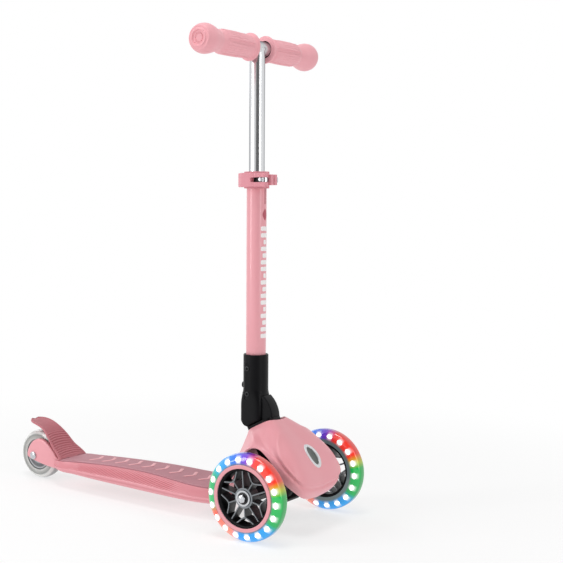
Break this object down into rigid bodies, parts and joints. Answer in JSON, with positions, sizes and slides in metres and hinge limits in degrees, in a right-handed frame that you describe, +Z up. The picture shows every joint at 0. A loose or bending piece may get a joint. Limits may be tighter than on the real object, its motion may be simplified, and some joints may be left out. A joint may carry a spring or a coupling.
{
  "type": "kick scooter",
  "caption": "Folding kick scooter for small children: long deck with a rear foot brake, lean-to-steer front axle with light-up wheels, and a height-adjustable T-bar with soft grips.",
  "frame": {"origin": "on the ground, on the centre plane, midway between the front of the front wheels and the back of the rear wheel", "axes": "+X forward, +Y the rider's left, +Z up"},
  "size_m": [0.5806, 0.287, 0.6955],
  "materials": {
    "pink_plastic": "satin moulded pink",
    "pink_painted_metal": "satin powder-coated pink",
    "pink_rubber": "matt moulded pink",
    "dark_pink_plastic": "moulded dark pink",
    "dark_pink_mat": "matt dark pink",
    "black_plastic": "fine-grained black",
    "black_steel": "black powder coat",
    "grey_nylon": "moulded dark grey",
    "rubber": "black rubber",
    "silver_plastic": "silver-painted plastic",
    "steel": "zinc-plated",
    "aluminium": "satin anodised",
    "clear_polyurethane": "clear moulded",
    "led_white": "white diffuser"
  },
  "bodies": {
    "deck": {"deck_base": "pink_plastic", "deck_mat": "dark_pink_mat", "front_chassis": "black_steel", "hood": "pink_plastic", "fold_neck": "black_plastic", "button_ring": "silver_plastic", "rear_axle": "steel", "rear_axle_nut": "steel", "kingpin": "steel", "brake_pin": "steel", "brake_spring": "steel", "deck_bolt_front": "steel", "deck_bolt_rear": "steel", "steer_stop_right": "rubber", "steer_stop_left": "rubber"},
    "truck": {"axle_carrier": "black_steel", "front_axle_bolt_right": "steel", "front_axle_bolt_left": "steel"},
    "front_wheel_right": {"tyre_right": "clear_polyurethane", "hub_right": "grey_nylon", "rim_ring_right": "pink_plastic", "led_ring_right": "led_white", "bearing_right_outer": "steel", "bearing_right_inner": "steel", "bearing_spacer_right": "steel"},
    "front_wheel_left": {"tyre_left": "clear_polyurethane", "hub_left": "grey_nylon", "rim_ring_left": "pink_plastic", "led_ring_left": "led_white", "bearing_left_outer": "steel", "bearing_left_inner": "steel", "bearing_spacer_left": "steel"},
    "rear_wheel": {"rear_tyre": "clear_polyurethane", "rear_core": "grey_nylon", "rear_bearing_right": "steel", "rear_bearing_left": "steel", "rear_bearing_spacer": "steel"},
    "brake": {"brake_pad": "dark_pink_mat"},
    "stem": {"fold_socket": "black_plastic", "outer_tube": "pink_painted_metal", "clamp_collar": "dark_pink_plastic", "clamp_bolt": "steel", "clamp_nut": "steel", "socket_screw_upper": "steel", "socket_screw_lower": "steel", "guide_bush": "black_plastic", "fold_pin": "steel"},
    "handlebar": {"t_bar": "aluminium", "grip_right": "pink_rubber", "grip_left": "pink_rubber", "lower_bush": "black_plastic"},
    "clamp_lever": {"clamp_lever": "dark_pink_plastic", "cam_pin": "steel"},
    "fold_button": {"fold_button": "grey_nylon"},
    "steering_lock": {"steering_lock_button": "grey_nylon"},
    "height_button": {"height_button": "steel"}
  },
  "joints": [
    {"name": "lean_steer", "type": "hinge", "parent": "deck", "child": "truck", "pos_m": [0.22975, 0, 0.0605], "axis": [0.5736, 0, 0.8192], "range_deg": [-12, 12], "stiffness_Nm_per_rad": 30},
    {"name": "front_wheel_right_spin", "type": "hinge", "parent": "truck", "child": "front_wheel_right", "pos_m": [0.22975, -0.107, 0.0605], "axis": [0, 1, 0], "continuous": true},
    {"name": "front_wheel_left_spin", "type": "hinge", "parent": "truck", "child": "front_wheel_left", "pos_m": [0.22975, 0.107, 0.0605], "axis": [0, 1, 0], "continuous": true},
    {"name": "rear_wheel_spin", "type": "hinge", "parent": "deck", "child": "rear_wheel", "pos_m": [-0.25025, 0, 0.04], "axis": [0, 1, 0], "continuous": true},
    {"name": "brake_press", "type": "hinge", "parent": "deck", "child": "brake", "pos_m": [-0.17825, 0, 0.036], "axis": [0, -1, 0], "range_deg": [0, 3.5], "stiffness_Nm_per_rad": 2, "springref_deg": -5.73},
    {"name": "fold", "type": "hinge", "parent": "deck", "child": "stem", "pos_m": [0.16775, 0, 0.15], "axis": [0, 1, 0], "range_deg": [-90, 0]},
    {"name": "bar_height", "type": "slide", "parent": "stem", "child": "handlebar", "axis": [0, 0, 1], "range_m": [0, 0.1]},
    {"name": "clamp_open", "type": "hinge", "parent": "stem", "child": "clamp_lever", "pos_m": [0.19495, -0.014, 0.48925], "axis": [0, 0, 1], "range_deg": [0, 120]},
    {"name": "fold_button_press", "type": "slide", "parent": "stem", "child": "fold_button", "axis": [1, 0, 0], "range_m": [0, 0.0035], "stiffness_N_per_m": 400, "springref_m": -0.002},
    {"name": "steering_lock_press", "type": "slide", "parent": "deck", "child": "steering_lock", "axis": [-0.788, 0, -0.6157], "range_m": [0, 0.003], "stiffness_N_per_m": 400, "springref_m": -0.002},
    {"name": "height_button_press", "type": "slide", "parent": "stem", "child": "height_button", "axis": [1, 0, 0], "range_m": [0, 0.0025], "stiffness_N_per_m": 400, "springref_m": -0.002}
  ]
}
